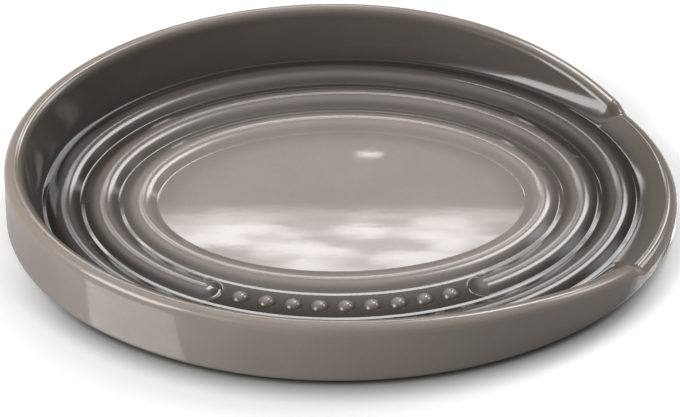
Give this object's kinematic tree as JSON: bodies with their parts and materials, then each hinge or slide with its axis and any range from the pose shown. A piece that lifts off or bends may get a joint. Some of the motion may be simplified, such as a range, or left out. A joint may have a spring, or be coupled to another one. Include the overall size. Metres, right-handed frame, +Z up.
{
  "type": "spoon rest",
  "caption": "Oval glazed stoneware spoon rest with a flat floor, raised ribs, a wall that falls towards the handle end and a lowered rim there.",
  "frame": {"origin": "centre of the dish's footprint, on the table", "axes": "+X along the dish towards the lowered rim, +Y across it away from the broken rib, +Z up"},
  "size_m": [0.15, 0.1173, 0.0165],
  "materials": {
    "clay": "bare fired stoneware, matt",
    "inside_glaze": "gloss, dark taupe where it pools",
    "outside_glaze": "gloss, taupe"
  },
  "bodies": {
    "root": {"clay_dish": "clay", "foot_ring": "clay", "inside_glaze": "inside_glaze", "outside_glaze": "outside_glaze", "pearl_row": "inside_glaze"}
  },
  "joints": []
}
